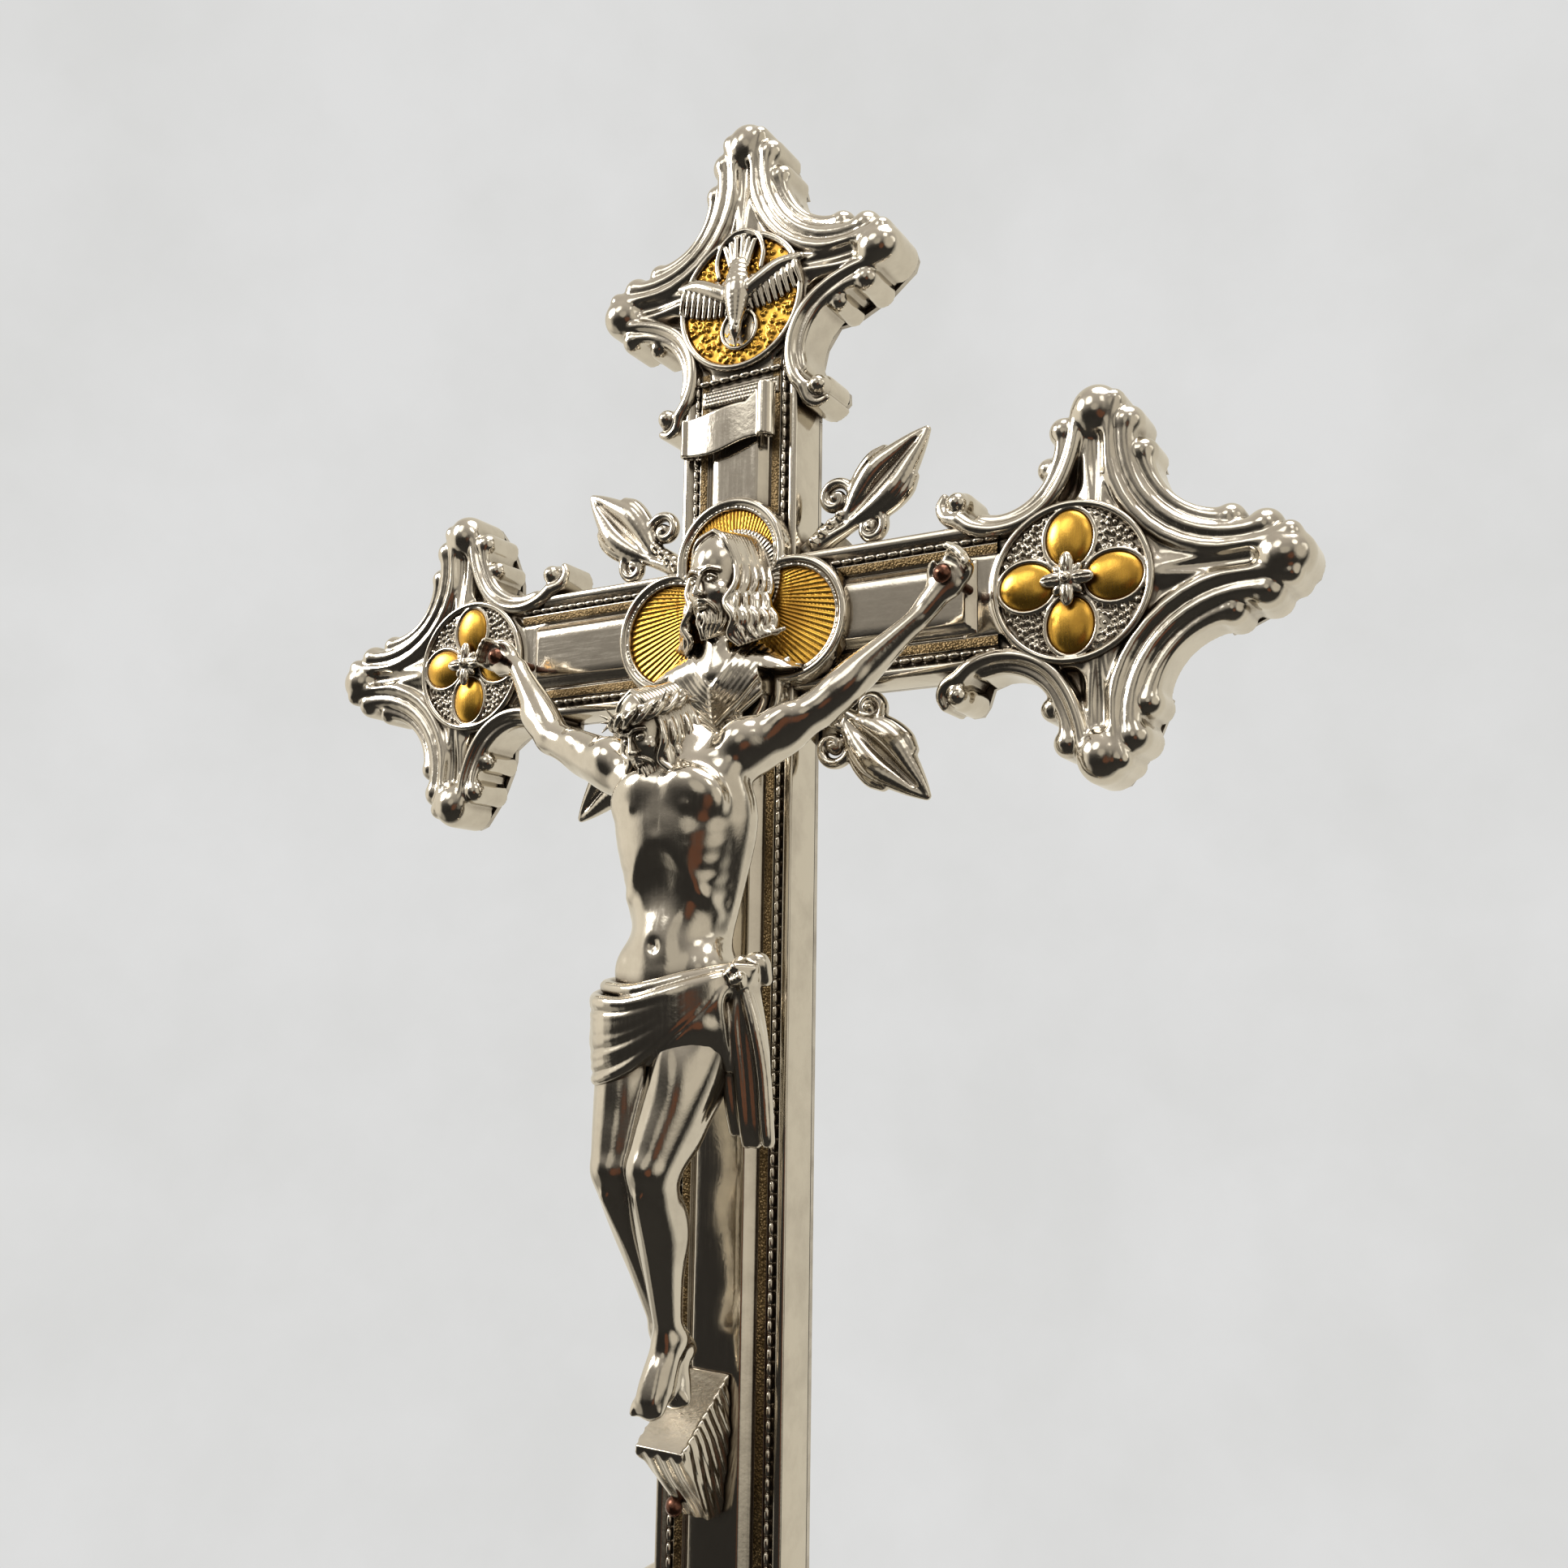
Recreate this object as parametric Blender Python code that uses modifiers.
"""A processional cross: cast and stamped silver-plated shells over a wooden core, on a socket for its staff.

The world origin is on the staff's axis, on the seat that the staff's end meets. Most pieces hang from an
empty at the crossing, whose y = 0 is the front arris of the arms and whose +y runs to the back.
"""

import math

import bmesh
import bpy
from mathutils import Matrix, Vector

# Overall sizes, in metres.
ARM_REACH = 0.110  # crossing to the centre of the top or a side terminal
LOWER_REACH = 0.312  # crossing to the centre of the lower terminal
LOBE_REACH = 0.053  # centre of a terminal to the tip of its lobes
ARM_WIDTH = 0.0405
ARM_DEPTH = 0.0155

# Shells and core.
GAP = 0.0003  # between neighbouring pieces
SHELL_WALL = 0.0016
BACK_PLATE = 0.0017
PANEL_HALF = 0.0100  # raised centre panel of an arm
PANEL_RISE = 0.0018
STRIP_SINK = 0.0008  # sunk strip on each side of the panel
BORDER = 0.0032
NECK = 0.044  # centre of a terminal back to the joint with its arm
TENON = 0.020  # how far the core runs into a terminal

# Terminals.
TERMINAL_WALL = 0.0040
SCROLL_RADIUS = 0.0037
SCROLL_RISE = 0.0068  # centre of a scroll, out from the side of its arm
SCROLL_BACK = 0.0050  # centre of a scroll, out from the joint
TIP_RADIUS = 0.0060
KNOB_RADIUS = 0.0040
KNOBS = ((0.0125, 0.0075), (0.0215, 0.0112))  # each in from a lobe's tip, and out from its axis
BAY_RADIUS = 0.0250  # hollow curve between two lobes
BAY_INSET = 0.0165  # its centre, inwards from both tips
WAIST_RISE = (0.0065, 0.0022, 0.0008, 0.0028)  # side of a neck, from the lobe to the scroll
BODY_HALF = 0.0190

# Medallions.
ROUND_RADIUS = 0.0215  # medallions on the terminals
ROUND_INSET = 0.0067  # their centre, inwards from the terminal's
ROUND_RIM = 0.0018
PLATE = 0.0012
PETAL_LENGTH = 0.0158
PETAL_WIDTH = 0.0128
PETAL_RISE = 0.0022
ROSETTE_RADIUS = 0.0056
ROSETTE_RISE = 0.0016
QUATREFOIL_CENTRE = 0.0205
QUATREFOIL_LOBE = 0.0195
QUATREFOIL_RIM = 0.0045
RIM_RISE = 0.0046
DOVE_RISE = 0.0024
BOSS_DOME = ((0, 0.0050), (0.0070, 0.0040), (0.0120, 0.0015), (0.0130, 0), (0, 0))

# Leaves in the angles of the crossing, and the scroll above it.
LEAF_FRONT = 0.0010
LEAF_BACK = 0.0110
TITULUS_LENGTH = 0.0300  # between the centres of its rolls
TITULUS_BELOW = 0.0120  # from the quatrefoil up to the scroll
TITULUS_ABOVE = 0.0068  # from the scroll up to the upper medallion
TITULUS_ROLL = 0.0026
TITULUS_SHEET = 0.0006
TITULUS_SIDE = -0.0020

# The figure, its nails and the wedge under its feet.
HAND_CLEAR = 0.0063  # from a nail to the edge of the medallion beyond it
FOOT_CLEAR = 0.0398  # from the wedge's foot to the edge of the lower medallion
FIGURE_REACH = 0.0755  # from the middle to a nail, as the figure's shapes are drawn
FIGURE_DROP = 0.2440  # from the crossing to the wedge's foot, as they are drawn
NAIL_LEVEL = {"right": 0.0010, "left": -0.0040}
NAIL_HEAD = -0.0190
NAIL_RADIUS = 0.0011
NAIL_CLEARANCE = 0.0004
NAIL_CAP = ((0, 0.0022), (0.0016, 0.0018), (0.0026, 0))
WEDGE_HALF = 0.0080
WEDGE_FRONT = -0.0250
WEDGE_LIP = 0.0017
WEDGE_HEIGHTS = (0.0360, 0.0195)  # top of its back and of its front edge, above its foot
WEDGE_FOOT_DEPTH = -0.0075
STUD_PROFILE = ((0, 0.0020), (0.0018, 0.0015), (0.0026, 0), (0, 0))

# Socket, knop and clamp.
BORE_RADIUS = 0.0150
SOCKET_WALL = 0.0025
SOCKET_DEPTH = 0.095
SEAT_THICKNESS = 0.0040
NUT_ROOM = 0.0095
SOCKET_TOP = 0.0030
RING_WALL = 0.0035
RING_HEIGHT = 0.0090
COLLAR_HEIGHT = 0.0120
COLLAR_RADIUS = 0.0250
KNOP_RADIUS = 0.0420
KNOP_HEIGHT = 0.0720
KNOP_WALL = 0.0016
KNOP_NECK = 0.0140
KNOP_STEPS = 5  # facets from neck to band
BAND_HEIGHT = 0.0090
ROD_CLEARANCE = 0.0004
ROD_GRIP = 0.032  # length of the rod inside the core
INSERT_WALL = 0.0008
INSERT_COVER = 0.0012  # wood between the insert and the faces of the core
NUT_RADIUS = 0.0056
NUT_HEIGHT = 0.0050
CLAMP_Z = -0.060
SCREW_RADIUS = 0.0030
SCREW_CLEARANCE = 0.00035
PAD_RADIUS = 0.0042
PAD_THICKNESS = 0.0019
BOSS_RADIUS = 0.0075
BOSS_LENGTH = 0.0100
SCREW_STANDOFF = 0.0060  # bare shank between the boss and the head
HEAD_RADIUS = 0.0105
HEAD_THICKNESS = 0.0036

# Values worked out from those above.
HALF_WIDTH = ARM_WIDTH / 2
CORE_HALF = HALF_WIDTH - SHELL_WALL - GAP
CORE_FRONT = SHELL_WALL + STRIP_SINK + GAP
SHELL_BACK = ARM_DEPTH - BACK_PLATE - GAP
CORE_BACK = SHELL_BACK
TERMINAL_FACE = CORE_FRONT - GAP  # thickness of a terminal's front wall
ROD_HOLE = (CORE_BACK - CORE_FRONT) / 2 - INSERT_COVER - INSERT_WALL
ROD_RADIUS = ROD_HOLE - ROD_CLEARANCE
SOCKET_RADIUS = BORE_RADIUS + SOCKET_WALL
SOCKET_END = SEAT_THICKNESS + NUT_ROOM + SOCKET_TOP
LOWER_COLLAR_Z = SOCKET_END + GAP
KNOP_Z = LOWER_COLLAR_Z + COLLAR_HEIGHT + GAP
UPPER_COLLAR_Z = KNOP_Z + KNOP_HEIGHT + GAP
CROSSING_Z = UPPER_COLLAR_Z + COLLAR_HEIGHT + GAP + LOWER_REACH + LOBE_REACH
CORE_FOOT = -(LOWER_REACH - NECK + TENON)
PROUD_FACE = -PANEL_RISE - GAP  # just in front of the raised panels
TITULUS_LOW = QUATREFOIL_CENTRE + QUATREFOIL_LOBE + TITULUS_BELOW
TITULUS_HIGH = ARM_REACH - ROUND_INSET - ROUND_RADIUS - TITULUS_ABOVE
NAIL_X = ARM_REACH - ROUND_INSET - ROUND_RADIUS - HAND_CLEAR
WEDGE_FOOT = -(LOWER_REACH - ROUND_INSET - ROUND_RADIUS - FOOT_CLEAR)
FIGURE_SCALE = Matrix.Diagonal((NAIL_X / FIGURE_REACH, 1, -WEDGE_FOOT / FIGURE_DROP, 1))

UP, DOWN, LEFT, RIGHT = 0.0, math.pi, math.pi / 2, -math.pi / 2


def clear_scene():
    for obj in list(bpy.data.objects):
        bpy.data.objects.remove(obj, do_unlink=True)


def make_collection(name):
    collection = bpy.data.collections.new(name)
    bpy.context.scene.collection.children.link(collection)
    return collection


def make_material(name, colour, metallic, roughness):
    material = bpy.data.materials.new(name)
    material.use_nodes = True
    shader = material.node_tree.nodes["Principled BSDF"]
    shader.inputs["Base Color"].default_value = (*colour, 1)
    shader.inputs["Metallic"].default_value = metallic
    shader.inputs["Roughness"].default_value = roughness
    return material


def place(obj, parent, location=(0, 0, 0), rotation=(0, 0, 0)):
    """Adds a piece to the cross, and hangs it from its parent."""
    cross.objects.link(obj)
    obj.parent = parent
    obj.location = location
    obj.rotation_euler = rotation
    return obj


def finish_mesh(obj, material):
    """Gives a piece a material of its own and smooth shading between its sharp edges."""
    own = material.copy()
    own.name = f"{obj.name}_{material.name}"
    obj.data.materials.clear()
    obj.data.materials.append(own)
    if obj.type == "MESH":
        obj.data.shade_smooth()
        obj.data.set_sharp_from_angle(angle=math.radians(35))
    return obj


def curve_outline(name, loops, half_thickness):
    """A flat 2D curve in its own XY plane, filled on both sides: the outline first, then its holes."""
    curve = bpy.data.curves.new(name, "CURVE")
    curve.dimensions = "2D"
    curve.fill_mode = "BOTH"
    curve.extrude = half_thickness
    for loop in loops:
        spline = curve.splines.new("POLY")
        spline.points.add(len(loop) - 1)
        spline.use_cyclic_u = True
        for point, (x, y) in zip(spline.points, loop):
            point.co = (x, y, 0, 1)
    return curve


def mesh_of(curve):
    """The closed mesh that a filled curve makes, with its caps joined to its sides."""
    holder = bpy.data.objects.new("outline", curve)
    bpy.context.scene.collection.objects.link(holder)
    graph = bpy.context.evaluated_depsgraph_get()
    mesh = bpy.data.meshes.new_from_object(holder.evaluated_get(graph))
    bpy.data.objects.remove(holder, do_unlink=True)
    work = bmesh.new()
    work.from_mesh(mesh)
    bmesh.ops.remove_doubles(work, verts=work.verts, dist=0.00002)
    bmesh.ops.recalc_face_normals(work, faces=work.faces)
    work.to_mesh(mesh)
    work.free()
    return mesh


def add_plate(name, loops, front, back, material, parent, location=(0, 0, 0), turn=0.0):
    """A flat piece that stands in the XZ plane, from y = front to y = back, turned about y."""
    mesh = mesh_of(curve_outline(name, loops, (back - front) / 2))
    mesh.transform(Matrix.Translation((0, (front + back) / 2, 0)) @ Matrix.Rotation(math.pi / 2, 4, "X"))
    obj = place(bpy.data.objects.new(name, mesh), parent, location, (0, -turn, 0))
    return finish_mesh(obj, material)


def add_bar(name, section, low, high, material, parent, turn=0.0):
    """A straight bar of one section in XY that runs from low to high along Z, turned about y."""
    mesh = mesh_of(curve_outline(name, [section], (high - low) / 2))
    mesh.transform(Matrix.Translation((0, 0, (low + high) / 2)))
    obj = place(bpy.data.objects.new(name, mesh), parent, (0, 0, 0), (0, -turn, 0))
    return finish_mesh(obj, material)


def add_turned(name, profile, material, parent=None, location=(0, 0, 0), rotation=(0, 0, 0), steps=24):
    """A turned piece from a profile of (radius, z) down its outer side, solid if it starts on its axis."""
    mesh = bpy.data.meshes.new(name)
    edges = [(i, (i + 1) % len(profile)) for i in range(len(profile))]
    if profile[0][0] == 0:
        edges.pop()
    mesh.from_pydata([(radius, 0, z) for radius, z in profile], edges, [])
    obj = place(bpy.data.objects.new(name, mesh), parent, location, rotation)
    screw = obj.modifiers.new("turn", "SCREW")
    screw.steps = steps
    screw.render_steps = steps
    screw.use_merge_vertices = True
    screw.merge_threshold = 0.00001
    screw.use_smooth_shade = True
    return finish_mesh(obj, material)


def add_cutter(name, mesh, parent, location=(0, 0, 0), rotation=(0, 0, 0)):
    obj = bpy.data.objects.new(name, mesh)
    cutters.objects.link(obj)
    obj.parent = parent
    obj.location = location
    obj.rotation_euler = rotation
    obj.hide_render = True
    obj.display_type = "WIRE"
    return obj


def box_mesh(name, low, high):
    work = bmesh.new()
    bmesh.ops.create_cube(work, size=1)
    low, high = Vector(low), Vector(high)
    size = Matrix.Diagonal((*(high - low), 1))
    bmesh.ops.transform(work, matrix=Matrix.Translation((low + high) / 2) @ size, verts=work.verts)
    mesh = bpy.data.meshes.new(name)
    work.to_mesh(mesh)
    work.free()
    return mesh


def rod_mesh(name, radius, low, high, sides=20):
    """A cylinder along Z."""
    work = bmesh.new()
    bmesh.ops.create_cone(
        work, cap_ends=True, segments=sides, radius1=radius, radius2=radius, depth=high - low
    )
    bmesh.ops.translate(work, verts=work.verts, vec=(0, 0, (low + high) / 2))
    mesh = bpy.data.meshes.new(name)
    work.to_mesh(mesh)
    work.free()
    return mesh


def cut(obj, cutter, operation="DIFFERENCE"):
    boolean = obj.modifiers.new(cutter.name, "BOOLEAN")
    boolean.operation = operation
    boolean.solver = "EXACT"
    boolean.object = cutter


def arc(centre, radius, first, last, steps):
    """Points on an arc, from one angle to another in degrees."""
    angles = [math.radians(first + (last - first) * i / steps) for i in range(steps + 1)]
    return [(centre[0] + radius * math.cos(a), centre[1] + radius * math.sin(a)) for a in angles]


def mirrored(half, axis=0):
    """A half outline and its mirror image, which closes it."""
    flip = [(-x, y) if axis == 0 else (x, -y) for x, y in reversed(half)]
    return half + flip


def terminal_outline():
    """Three lobes with stepped knobs, bays between them and scrolls on the arm; u runs out along x."""
    tip = arc((LOBE_REACH - TIP_RADIUS, 0), TIP_RADIUS, 0, 70, 2)
    knobs = []
    for (inwards, out), first in zip(KNOBS, (35, 45)):
        knobs += arc((LOBE_REACH - inwards, out), KNOB_RADIUS, first, first + 60, 1)
    bay_centre = LOBE_REACH - BAY_INSET
    bay = arc((bay_centre, bay_centre), BAY_RADIUS, 257, 225, 2)
    half_lobe = tip + knobs + bay
    other_half = [(v, u) for u, v in reversed(half_lobe[:-1])]
    lobe_back = [(-u, v) for u, v in reversed(other_half)]
    lobe_back = lobe_back[1 : len(tip) + len(knobs)]
    scroll_centre = (SCROLL_BACK - NECK, HALF_WIDTH + SCROLL_RISE)
    scroll = arc(scroll_centre, SCROLL_RADIUS, 10, 215, 4)
    waist_start, waist_end = -KNOBS[1][1] - KNOB_RADIUS, scroll_centre[0] + SCROLL_RADIUS + 0.0015
    waist = []
    for i, rise in enumerate(WAIST_RISE):
        waist.append((waist_start + (waist_end - waist_start) * i / (len(WAIST_RISE) - 1), HALF_WIDTH + rise))
    neck = [(-NECK + 0.0015, HALF_WIDTH), (-NECK, HALF_WIDTH)]
    return mirrored(half_lobe + other_half + lobe_back + waist + scroll + neck, axis=1)


def terminal_pocket():
    """The hollow inside a terminal, which is open towards the core."""
    lobe = TIP_RADIUS - TERMINAL_WALL / 2
    body = BODY_HALF - TERMINAL_WALL
    end = LOBE_REACH - TIP_RADIUS
    core = CORE_HALF + GAP
    half = [(end, lobe), (body, lobe), (body, body), (lobe, body), (lobe, end), (-lobe, end)]
    half += [(-lobe, body + TERMINAL_WALL), (-body - TERMINAL_WALL / 2, core), (-NECK - 0.001, core)]
    return mirrored(half, axis=1)


def quatrefoil(inset, steps=8):
    """Four round lobes that meet in cusps on the diagonals."""
    radius = QUATREFOIL_LOBE - inset
    spread = math.sqrt(2 * radius**2 - QUATREFOIL_CENTRE**2)
    cusp = (QUATREFOIL_CENTRE + spread) / 2
    half_angle = math.degrees(math.atan2(cusp, cusp - QUATREFOIL_CENTRE))
    points = []
    for quarter in range(4):
        turn = quarter * math.pi / 2
        centre = (QUATREFOIL_CENTRE * math.cos(turn), QUATREFOIL_CENTRE * math.sin(turn))
        start = 90 * quarter - half_angle
        points += arc(centre, radius, start, start + 2 * half_angle, steps)[:-1]
    return points


def ball(centre, radii, turn=(0, 0, 0)):
    """An ellipsoid: centre, radii and a rotation in degrees."""
    work = bmesh.new()
    bmesh.ops.create_icosphere(work, subdivisions=2, radius=1)
    spin = Matrix.Rotation(math.radians(turn[2]), 4, "Z") @ Matrix.Rotation(math.radians(turn[1]), 4, "Y")
    spin = spin @ Matrix.Rotation(math.radians(turn[0]), 4, "X")
    size = Matrix.Diagonal((*radii, 1))
    bmesh.ops.transform(work, matrix=Matrix.Translation(centre) @ spin @ size, verts=work.verts)
    return work


def limb(start, end, first_radius, last_radius):
    """A tapered limb with round ends: the hull of two balls."""
    work = bmesh.new()
    for centre, radius in ((start, first_radius), (end, last_radius)):
        bmesh.ops.create_icosphere(
            work, subdivisions=1, radius=radius, matrix=Matrix.Translation(centre)
        )
    hull = bmesh.ops.convex_hull(work, input=work.verts)
    spare = [item for item in hull["geom_interior"] if isinstance(item, bmesh.types.BMVert)]
    bmesh.ops.delete(work, geom=spare, context="VERTS")
    return work


def add_figure(name, shapes, scale, voxel, keep, material):
    """A soft cast form: balls and limbs run together into one skin, then thinned out."""
    joined = bmesh.new()
    for work in shapes:
        mesh = bpy.data.meshes.new("shape")
        work.to_mesh(mesh)
        work.free()
        joined.from_mesh(mesh)
        bpy.data.meshes.remove(mesh)
    mesh = bpy.data.meshes.new(name)
    joined.to_mesh(mesh)
    joined.free()
    mesh.transform(scale)
    obj = place(bpy.data.objects.new(name, mesh), crossing)
    skin = obj.modifiers.new("skin", "REMESH")
    skin.mode = "VOXEL"
    skin.voxel_size = voxel
    thin = obj.modifiers.new("thin", "DECIMATE")
    thin.ratio = keep
    return finish_mesh(obj, material)


def channel_section():
    """A U-shaped shell open to the back, with a border, a sunk strip and a raised panel on its face."""
    inner = HALF_WIDTH - SHELL_WALL
    half = [(-inner, SHELL_BACK), (-HALF_WIDTH, SHELL_BACK), (-HALF_WIDTH, 0)]
    half += [(-HALF_WIDTH + BORDER, 0), (-HALF_WIDTH + BORDER + STRIP_SINK, STRIP_SINK)]
    half += [(-PANEL_HALF - STRIP_SINK, STRIP_SINK), (-PANEL_HALF, -PANEL_RISE / 2)]
    half += [(-PANEL_HALF + PANEL_RISE, -PANEL_RISE)]
    face = half + [(-x, y) for x, y in reversed(half)]
    return face + [(inner, SHELL_WALL + STRIP_SINK), (-inner, SHELL_WALL + STRIP_SINK)]


def back_section():
    """A flat back plate with a raised panel."""
    front, back = ARM_DEPTH - BACK_PLATE, ARM_DEPTH
    half = [(-HALF_WIDTH, front), (HALF_WIDTH, front), (HALF_WIDTH, back)]
    half += [(PANEL_HALF + STRIP_SINK, back), (PANEL_HALF, back + STRIP_SINK)]
    return half + [(-PANEL_HALF, back + STRIP_SINK), (-PANEL_HALF - STRIP_SINK, back), (-HALF_WIDTH, back)]


ARMS = (
    ("upper", UP, ARM_REACH, GAP / 2),
    ("lower", DOWN, LOWER_REACH, GAP / 2),
    ("left", LEFT, ARM_REACH, HALF_WIDTH + GAP),
    ("right", RIGHT, ARM_REACH, HALF_WIDTH + GAP),
)


def build_core():
    """Two wooden bars, halved into each other at the crossing."""
    middle = (CORE_FRONT + CORE_BACK) / 2
    top = ARM_REACH - NECK + TENON
    side = ARM_REACH - NECK + TENON
    upright = bpy.data.objects.new(
        "core_upright",
        box_mesh("core_upright", (-CORE_HALF, CORE_FRONT, CORE_FOOT), (CORE_HALF, CORE_BACK, top)),
    )
    crossbar = bpy.data.objects.new(
        "core_crossbar",
        box_mesh("core_crossbar", (-side, CORE_FRONT, -CORE_HALF), (side, CORE_BACK, CORE_HALF)),
    )
    for bar in (upright, crossbar):
        finish_mesh(place(bar, crossing), wood)
    reach = HALF_WIDTH + GAP
    slot = CORE_HALF + GAP
    notch = box_mesh("upright_notch", (-reach, middle - GAP / 2, -slot), (reach, ARM_DEPTH, slot))
    cut(upright, add_cutter("upright_notch", notch, crossing))
    notch = box_mesh("crossbar_notch", (-slot, 0, -reach), (slot, middle + GAP / 2, reach))
    cut(crossbar, add_cutter("crossbar_notch", notch, crossing))
    hole_radius = ROD_HOLE + INSERT_WALL + GAP
    foot = CROSSING_Z + CORE_FOOT
    hole = rod_mesh("insert_hole", hole_radius, foot - 0.001, foot + ROD_GRIP + 0.002)
    cut(upright, add_cutter("insert_hole", hole, None))


def build_arms():
    """Four channels over the core, and the plates that close their backs."""
    slot = CORE_HALF + GAP
    opening = box_mesh("crossing_opening", (-HALF_WIDTH - 0.001, CORE_FRONT - GAP, -slot),
                       (HALF_WIDTH + 0.001, ARM_DEPTH, slot))
    opening = add_cutter("crossing_opening", opening, crossing)
    for name, turn, reach, start in ARMS:
        end = reach - NECK - GAP
        channel = add_bar(f"front_shell_{name}", channel_section(), start, end, silver, crossing, turn)
        add_bar(f"back_plate_{name}", back_section(), start, end, silver, crossing, turn)
        if turn in (UP, DOWN):
            cut(channel, opening)


def build_terminals():
    """A hollow casting at the end of each arm, and the cover that closes its back."""
    for name, turn, reach, _ in ARMS:
        holder = bpy.data.objects.new(f"terminal_{name}_place", None)
        cross.objects.link(holder)
        holder.parent = crossing
        holder.rotation_euler.y = -turn - math.pi / 2
        along = Matrix.Rotation(holder.rotation_euler.y, 3, "Y") @ Vector((reach, 0, 0))
        holder.location = along
        outline = terminal_outline()
        casting = add_plate(f"terminal_{name}", [outline], 0, SHELL_BACK, silver, holder)
        pocket_back = SHELL_BACK + 0.001
        half_depth = (pocket_back - TERMINAL_FACE) / 2
        pocket = mesh_of(curve_outline("pocket", [terminal_pocket()], half_depth))
        middle = (pocket_back + TERMINAL_FACE) / 2
        pocket.transform(Matrix.Translation((0, middle, 0)) @ Matrix.Rotation(math.pi / 2, 4, "X"))
        cut(casting, add_cutter(f"terminal_{name}_pocket", pocket, holder))
        back = ARM_DEPTH - BACK_PLATE
        add_plate(f"terminal_cover_{name}", [outline], back, ARM_DEPTH, silver, holder)
        if name == "lower":
            bore = rod_mesh("rod_bore", ROD_HOLE, CROSSING_Z - reach - LOBE_REACH - 0.002,
                            CROSSING_Z - reach)
            cut(casting, add_cutter("rod_bore", bore, None))
        build_round_medallion(name, holder)


def build_round_medallion(name, holder):
    """A rimmed disc on a terminal: four gilt petals and a rosette, or the dove on the top one."""
    centre = (-ROUND_INSET, 0, 0)
    rim_front, rim_back = -0.0022, -GAP
    outer = arc((0, 0), ROUND_RADIUS, 0, 337.5, 15)
    inner = arc((0, 0), ROUND_RADIUS - ROUND_RIM, 337.5, 0, 15)
    add_plate(f"medallion_rim_{name}", [outer, inner], rim_front, rim_back, silver, holder, centre)
    disc = arc((0, 0), ROUND_RADIUS - ROUND_RIM - GAP, 0, 337.5, 15)
    if name == "upper":
        add_plate("dove_ground", [disc], -GAP - PLATE, -GAP, gilt, holder, centre)
        build_dove(holder, centre)
        return
    plate = add_plate(f"petal_plate_{name}", [disc], -GAP - PLATE, -GAP, gilt, holder, centre)
    for quarter in range(4):
        mesh = petal_mesh(quarter * math.pi / 2)
        cut(plate, add_cutter(f"petal_{name}_{quarter}", mesh, holder, centre), "UNION")
    offset, radius = ROSETTE_RADIUS * 0.57, ROSETTE_RADIUS * 0.43
    outline = []
    for quarter in range(4):
        turn = quarter * math.pi / 2
        lobe_centre = (offset * math.cos(turn), offset * math.sin(turn))
        outline += arc(lobe_centre, radius, quarter * 90 - 100, quarter * 90 + 100, 3)
    front = -GAP - PLATE - PETAL_RISE - GAP
    add_plate(f"rosette_{name}", [outline], front - ROSETTE_RISE, front, silver, holder, centre)


def petal_mesh(turn):
    """A domed oval petal with a flat back, sunk a little into its plate."""
    middle = ROUND_RADIUS - ROUND_RIM - GAP - PETAL_LENGTH / 2 - 0.0004
    work = ball((0, 0, 0), (PETAL_LENGTH / 2, PETAL_RISE, PETAL_WIDTH / 2))
    for vert in work.verts:
        vert.co.y = min(vert.co.y, PLATE / 2)
    mesh = bpy.data.meshes.new("petal")
    work.to_mesh(mesh)
    work.free()
    mesh.transform(Matrix.Translation((middle, -GAP - PLATE, 0)))
    mesh.transform(Matrix.Rotation(turn, 4, "Y"))
    return mesh


def build_dove(holder, centre):
    """A dove that flies down, its wings spread and raised."""
    half = [(0.0000, 0.0140), (0.0050, 0.0172), (0.0030, 0.0090), (0.0070, 0.0050), (0.0120, 0.0080)]
    half += [(0.0182, 0.0060), (0.0170, -0.0010), (0.0105, -0.0052), (0.0050, -0.0050)]
    half += [(0.0048, -0.0100), (0.0028, -0.0152), (0.0000, -0.0172)]
    outline = half + [(-x, y) for x, y in reversed(half[1:-1])]
    back = -GAP - PLATE - GAP
    dove = add_plate("dove", [outline], back - DOVE_RISE, back, silver, holder, centre)
    dove.rotation_euler.y = -math.pi / 2


def build_central_medallion():
    """A gilt quatrefoil in a silver rim, with a bust in front of it."""
    front = PROUD_FACE - (RIM_RISE - PANEL_RISE)
    rim = [quatrefoil(0), quatrefoil(QUATREFOIL_RIM)[::-1]]
    add_plate("centre_rim", rim, front, PROUD_FACE, silver, crossing)
    ground = [quatrefoil(QUATREFOIL_RIM + GAP)]
    ground_front = PROUD_FACE - PLATE
    add_plate("centre_ground", ground, ground_front, PROUD_FACE, gilt, crossing)
    back = ground_front - GAP
    shapes = [
        ball((0, back - 0.0052, -0.0130), (0.0170, 0.0048, 0.0110)),
        ball((0, back - 0.0052, -0.0030), (0.0095, 0.0048, 0.0080)),
        ball((0, back - 0.0060, 0.0120), (0.0078, 0.0055, 0.0105)),
        ball((0, back - 0.0046, 0.0085), (0.0110, 0.0042, 0.0140)),
    ]
    add_figure("centre_bust", shapes, Matrix.Identity(4), 0.0016, 0.20, silver)
    outline = [quatrefoil(0)]
    panel_back = ARM_DEPTH + STRIP_SINK + GAP
    add_plate("back_medallion", outline, panel_back, panel_back + PLATE * 2, silver, crossing)
    boss_back = panel_back + PLATE * 2 + GAP
    add_turned("back_boss", BOSS_DOME, gilt, crossing, (0, boss_back, 0), (-math.pi / 2, 0, 0))


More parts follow.
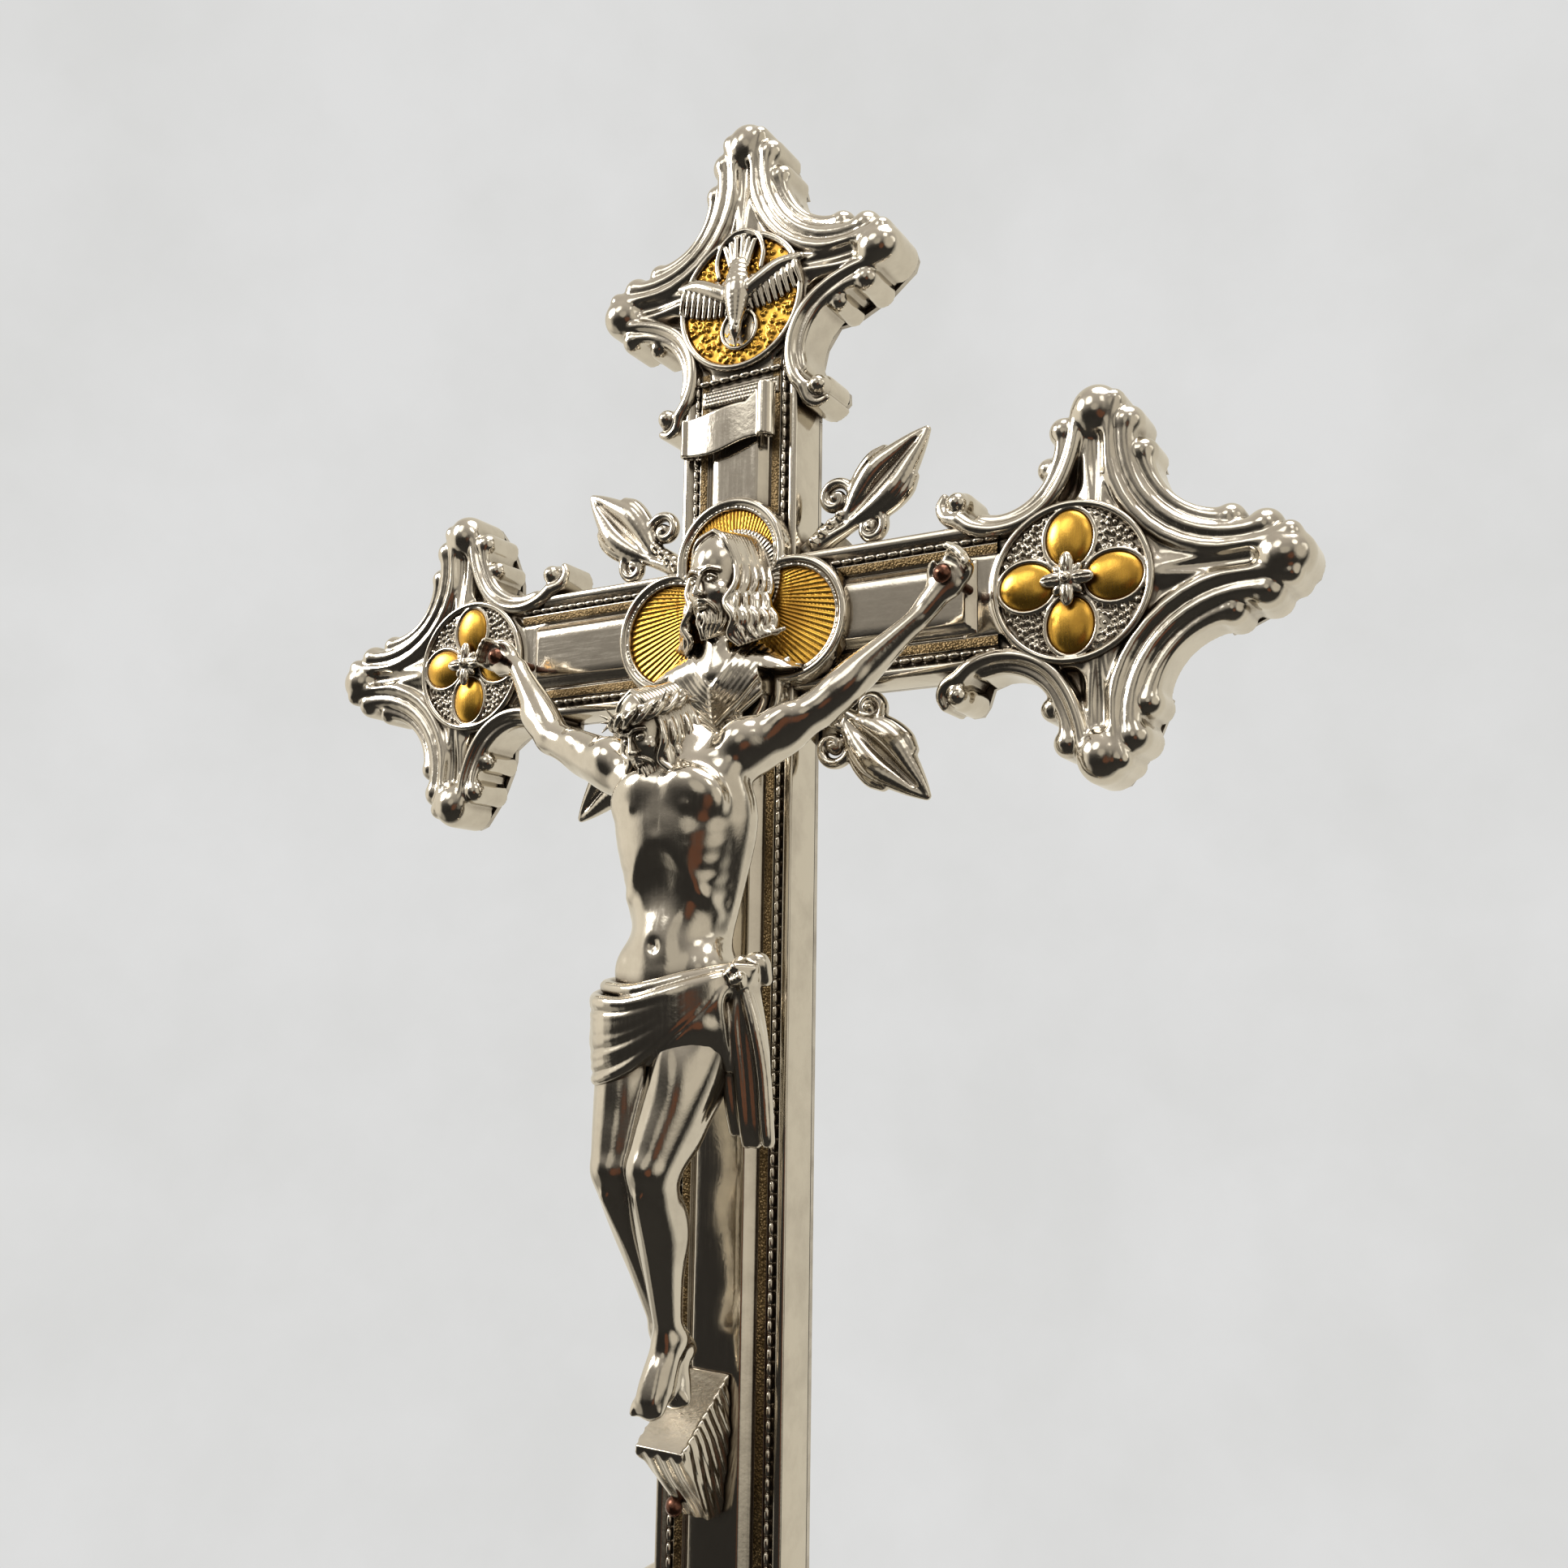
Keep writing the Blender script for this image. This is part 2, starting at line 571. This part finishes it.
def build_leaf_brackets():
    """A scrolled leaf in each angle of the crossing."""
    corner = HALF_WIDTH + GAP
    outline = [(0.0000, 0.0000), (0.0065, 0.0006), (0.0130, 0.0024), (0.0180, 0.0004), (0.0225, 0.0003)]
    outline += [(0.0262, 0.0035), (0.0258, 0.0085), (0.0300, 0.0125), (0.0370, 0.0215), (0.0405, 0.0345)]
    outline += [(0.0280, 0.0305), (0.0195, 0.0265), (0.0145, 0.0205), (0.0095, 0.0215), (0.0045, 0.0185)]
    outline += [(0.0040, 0.0120), (0.0015, 0.0070)]
    for name, side, level in (("upper_right", 1, 1), ("upper_left", -1, 1), ("lower_right", 1, -1),
                              ("lower_left", -1, -1)):
        loop = [(side * (corner + x), level * (corner + z)) for x, z in outline]
        add_plate(f"leaf_{name}", [loop], LEAF_FRONT, LEAF_BACK, silver, crossing)


def build_titulus():
    """A scroll of sheet metal above the medallion, with rolled ends."""
    middle = PROUD_FACE - TITULUS_ROLL
    half_length = TITULUS_LENGTH / 2
    half_angle = math.degrees(math.asin(TITULUS_SHEET / TITULUS_ROLL))
    section = arc((half_length, middle), TITULUS_ROLL, -180 + half_angle, 180 - half_angle, 8)
    section += arc((-half_length, middle), TITULUS_ROLL, half_angle, 360 - half_angle, 8)
    scroll = add_bar("titulus", section, TITULUS_LOW, TITULUS_HIGH, silver, crossing)
    scroll.location.x = TITULUS_SIDE


def corpus_shapes():
    """The figure's limbs, drapery and head, as balls and limbs."""
    torso = [
        ball((-0.0010, -0.0205, -0.0520), (0.0195, 0.0100, 0.0150), (0, 4, 0)),
        ball((0.0010, -0.0230, -0.0660), (0.0200, 0.0115, 0.0170)),
        ball((0.0015, -0.0215, -0.0880), (0.0150, 0.0095, 0.0180)),
        ball((0.0000, -0.0210, -0.1080), (0.0200, 0.0110, 0.0140)),
        ball((-0.0010, -0.0215, -0.1200), (0.0225, 0.0120, 0.0150)),
    ]
    head = [
        limb((-0.0020, -0.0240, -0.0400), (-0.0045, -0.0310, -0.0400), 0.0080, 0.0070),
        ball((-0.0062, -0.0345, -0.0350), (0.0105, 0.0115, 0.0145), (-18, -14, 0)),
        limb((0.0050, -0.0300, -0.0330), (0.0110, -0.0250, -0.0470), 0.0040, 0.0030),
        limb((-0.0150, -0.0300, -0.0340), (-0.0170, -0.0270, -0.0440), 0.0040, 0.0030),
    ]
    arms = [
        limb((0.0160, -0.0200, -0.0430), (0.0410, -0.0180, -0.0300), 0.0072, 0.0052),
        limb((0.0410, -0.0180, -0.0300), (0.0690, -0.0155, -0.0060), 0.0054, 0.0033),
        ball((0.0745, -0.0150, 0.0010), (0.0062, 0.0028, 0.0056), (0, -40, 0)),
        limb((-0.0210, -0.0215, -0.0450), (-0.0510, -0.0190, -0.0310), 0.0072, 0.0052),
        limb((-0.0510, -0.0190, -0.0310), (-0.0710, -0.0155, -0.0100), 0.0054, 0.0033),
        ball((-0.0765, -0.0150, -0.0040), (0.0062, 0.0028, 0.0056), (0, 40, 0)),
    ]
    legs = [
        limb((-0.0120, -0.0210, -0.1220), (-0.0125, -0.0335, -0.1550), 0.0110, 0.0078),
        limb((0.0100, -0.0230, -0.1240), (0.0010, -0.0385, -0.1540), 0.0115, 0.0080),
        limb((-0.0125, -0.0335, -0.1550), (-0.0040, -0.0170, -0.1940), 0.0076, 0.0046),
        limb((0.0010, -0.0385, -0.1540), (0.0015, -0.0235, -0.1930), 0.0076, 0.0048),
        limb((-0.0040, -0.0170, -0.1940), (0.0020, -0.0250, -0.2100), 0.0046, 0.0034),
        limb((0.0015, -0.0235, -0.1930), (-0.0020, -0.0325, -0.2120), 0.0048, 0.0034),
    ]
    drapery = [
        limb((0.0215, -0.0250, -0.1020), (0.0240, -0.0230, -0.1380), 0.0055, 0.0062),
        ball((0.0225, -0.0270, -0.1015), (0.0060, 0.0060, 0.0070)),
        limb((-0.0210, -0.0200, -0.1120), (-0.0200, -0.0215, -0.1270), 0.0065, 0.0065),
    ]
    return torso + head + arms + legs + drapery


def build_corpus():
    """The figure, the nails through its hands, and the wedge under its feet."""
    corpus = add_figure("corpus", corpus_shapes(), FIGURE_SCALE, 0.0021, 0.12, silver)
    length = PROUD_FACE - NAIL_HEAD
    for name, side in (("right", 1), ("left", -1)):
        spot = Vector((side * NAIL_X, 0, NAIL_LEVEL[name]))
        hole = rod_mesh(f"nail_hole_{name}", NAIL_RADIUS + NAIL_CLEARANCE, -0.030, 0, 12)
        cut(corpus, add_cutter(f"nail_hole_{name}", hole, crossing, spot, (-math.pi / 2, 0, 0)))
        profile = [*NAIL_CAP, (NAIL_RADIUS, 0), (NAIL_RADIUS, -length), (0, -length)]
        head = spot + Vector((0, NAIL_HEAD, 0))
        add_turned(f"nail_{name}", profile, iron, crossing, head, (math.pi / 2, 0, 0), 14)
    build_wedge()


def build_wedge():
    """The sloping foot rest: a block that tapers down to a narrow end, and the screw that holds it."""
    back_top, front_top = WEDGE_HEIGHTS
    front_low = front_top - WEDGE_LIP
    side = [(PROUD_FACE, back_top), (WEDGE_FRONT, front_top), (WEDGE_FRONT, front_low),
            (WEDGE_FOOT_DEPTH, 0), (PROUD_FACE, 0)]
    mesh = mesh_of(curve_outline("suppedaneum", [side], WEDGE_HALF))
    mesh.transform(Matrix(((0, 0, 1, 0), (1, 0, 0, 0), (0, 1, 0, 0), (0, 0, 0, 1))))
    wedge = place(bpy.data.objects.new("suppedaneum", mesh), crossing, (-0.0030, 0, WEDGE_FOOT))
    finish_mesh(wedge, silver)
    slope = Vector((0, WEDGE_FRONT - WEDGE_FOOT_DEPTH, front_low))
    out = Vector((0, -slope.z, slope.y)).normalized()
    low_end = Vector((-0.0055, WEDGE_FOOT_DEPTH, WEDGE_FOOT))
    spot = low_end + slope * 0.2 + out * (GAP + 0.0001)
    add_turned("foot_stud", STUD_PROFILE, iron, crossing, spot, (math.pi / 2 - math.asin(out.z), 0, 0), 14)


def knop_half(sign):
    """The profile of half a hollow knop, from its neck to the band."""
    rise = (KNOP_HEIGHT - BAND_HEIGHT) / 2 - GAP
    outer, inner = [], []
    first = math.degrees(math.asin(KNOP_NECK / KNOP_RADIUS))
    for i in range(KNOP_STEPS + 1):
        angle = math.radians(first + (90 - first) * i / KNOP_STEPS)
        level = math.cos(angle) / math.cos(math.radians(first))
        outer.append((KNOP_RADIUS * math.sin(angle), rise * level))
    for radius, level in reversed(outer):
        inner.append((radius - KNOP_WALL, max(0, level - KNOP_WALL)))
    if sign > 0:
        return outer + inner[:-1] + [(ROD_HOLE, rise - KNOP_WALL), (ROD_HOLE, rise)]
    half = knop_half(1)
    return [(radius, -level) for radius, level in reversed(half)]


def build_stem():
    """The turned pieces between the staff and the cross, and the rod that ties them together."""
    waist = COLLAR_RADIUS * 0.7
    collar = [(ROD_HOLE, COLLAR_HEIGHT), (waist, COLLAR_HEIGHT), (COLLAR_RADIUS, COLLAR_HEIGHT * 0.65)]
    collar += [(COLLAR_RADIUS, COLLAR_HEIGHT * 0.35), (waist, 0), (ROD_HOLE, 0)]
    add_turned("lower_collar", collar, silver, location=(0, 0, LOWER_COLLAR_Z), steps=20)
    add_turned("upper_collar", collar, silver, location=(0, 0, UPPER_COLLAR_Z), steps=20)
    middle = KNOP_Z + KNOP_HEIGHT / 2
    half_band = BAND_HEIGHT / 2
    add_turned("knop_upper", knop_half(1), silver, location=(0, 0, middle + half_band + GAP))
    add_turned("knop_lower", knop_half(-1), silver, location=(0, 0, middle - half_band - GAP))
    band = [(KNOP_RADIUS - 0.004, half_band), (KNOP_RADIUS, half_band), (KNOP_RADIUS + 0.0015, 0)]
    band += [(KNOP_RADIUS, -half_band), (KNOP_RADIUS - 0.004, -half_band)]
    add_turned("knop_band", band, gilt, location=(0, 0, middle))
    rod_foot = SEAT_THICKNESS + 0.0010
    rod_head = CROSSING_Z + CORE_FOOT + ROD_GRIP
    rod = place(bpy.data.objects.new("tie_rod", rod_mesh("tie_rod", ROD_RADIUS, rod_foot, rod_head)), None)
    finish_mesh(rod, steel)
    insert = [(ROD_HOLE, ROD_GRIP), (ROD_HOLE + INSERT_WALL, ROD_GRIP), (ROD_HOLE + INSERT_WALL, 0.0002),
              (ROD_HOLE, 0.0002)]
    add_turned("core_insert", insert, brass, location=(0, 0, CROSSING_Z + CORE_FOOT), steps=20)
    nut = [(ROD_HOLE, NUT_HEIGHT), (NUT_RADIUS, NUT_HEIGHT), (NUT_RADIUS, 0), (ROD_HOLE, 0)]
    nut_z = SEAT_THICKNESS + NUT_ROOM - NUT_HEIGHT - GAP
    add_turned("tie_nut", nut, steel, location=(0, 0, nut_z), steps=18)


def build_socket():
    """The tube that takes the staff, its seat, its mouth ring and the boss for the clamp screw."""
    tube = [(ROD_HOLE, SOCKET_END), (SOCKET_RADIUS, SOCKET_END), (SOCKET_RADIUS, -SOCKET_DEPTH)]
    tube += [(BORE_RADIUS, -SOCKET_DEPTH), (BORE_RADIUS, SOCKET_END - SOCKET_TOP)]
    tube += [(ROD_HOLE, SOCKET_END - SOCKET_TOP)]
    socket = add_turned("socket_tube", tube, silver, steps=24)
    seat = rod_mesh("staff_seat", BORE_RADIUS - GAP, 0, SEAT_THICKNESS, 24)
    finish_mesh(place(bpy.data.objects.new("staff_seat", seat), None), brass)
    inner, outer = SOCKET_RADIUS + GAP, SOCKET_RADIUS + RING_WALL
    ring = [(inner, RING_HEIGHT), (outer - 0.0012, RING_HEIGHT), (outer, RING_HEIGHT * 0.75)]
    ring += [(outer, RING_HEIGHT * 0.25), (outer - 0.0012, 0), (inner, 0)]
    add_turned("mouth_ring", ring, silver, location=(0, 0, -SOCKET_DEPTH))
    pad_hole = rod_mesh("pad_hole", PAD_RADIUS + SCREW_CLEARANCE, 0, SOCKET_RADIUS + 0.004, 20)
    turn = (-math.pi / 2, 0, 0)
    cut(socket, add_cutter("pad_hole", pad_hole, None, (0, 0, CLAMP_Z), turn))
    hole = SCREW_RADIUS + SCREW_CLEARANCE
    boss = [(hole, BOSS_LENGTH), (BOSS_RADIUS - 0.001, BOSS_LENGTH), (BOSS_RADIUS, BOSS_LENGTH - 0.001)]
    boss += [(BOSS_RADIUS, 0), (hole, 0)]
    add_turned("screw_boss", boss, silver, None, (0, SOCKET_RADIUS + GAP, CLAMP_Z), turn, 20)
    build_clamp(turn)


def build_clamp(turn):
    """A pad that presses on the staff, and the thumb screw that drives it. Both start backed off."""
    pad = rod_mesh("clamp_pad", PAD_RADIUS, 0, PAD_THICKNESS, 20)
    pad_start = BORE_RADIUS + 0.0002
    pad = place(bpy.data.objects.new("clamp_pad", pad), None, (0, pad_start, CLAMP_Z), turn)
    finish_mesh(pad, brass)
    tip = pad_start + PAD_THICKNESS + GAP
    shank = SOCKET_RADIUS + GAP + BOSS_LENGTH + SCREW_STANDOFF - tip
    profile = [(0, shank + 0.0040), (0.0048, shank + 0.0040), (0.0052, shank), (SCREW_RADIUS, shank)]
    profile += [(SCREW_RADIUS, 0), (0, 0)]
    screw = add_turned("thumb_screw", profile, brass, None, (0, tip, CLAMP_Z), turn, 20)
    lobe = HEAD_RADIUS / 2
    right = [(0.0045, -0.0030), *arc((HEAD_RADIUS * 0.62, lobe * 1.3), lobe, -60, 160, 6)]
    head = right + [(-x, y) for x, y in reversed(right)]
    mesh = mesh_of(curve_outline("wing", [head], HEAD_THICKNESS / 2))
    mesh.transform(Matrix.Translation((0, 0, shank + 0.0050)) @ Matrix.Rotation(math.pi / 2, 4, "X"))
    cut(screw, add_cutter("wing", mesh, None, (0, tip, CLAMP_Z), turn), "UNION")


clear_scene()
cross = make_collection("processional_cross")
cutters = make_collection("cutters")
silver = make_material("silver_plate", (0.62, 0.58, 0.52), 1.0, 0.22)
gilt = make_material("gilding", (0.80, 0.50, 0.13), 1.0, 0.30)
brass = make_material("brass", (0.72, 0.53, 0.26), 1.0, 0.32)
steel = make_material("steel", (0.50, 0.50, 0.51), 1.0, 0.38)
iron = make_material("dark_nails", (0.10, 0.07, 0.06), 1.0, 0.35)
wood = make_material("wood", (0.34, 0.20, 0.10), 0.0, 0.65)

crossing = bpy.data.objects.new("crossing", None)
cross.objects.link(crossing)
crossing.location = (0, -ARM_DEPTH / 2, CROSSING_Z)

build_core()
build_arms()
build_terminals()
build_central_medallion()
build_leaf_brackets()
build_titulus()
build_corpus()
build_stem()
build_socket()
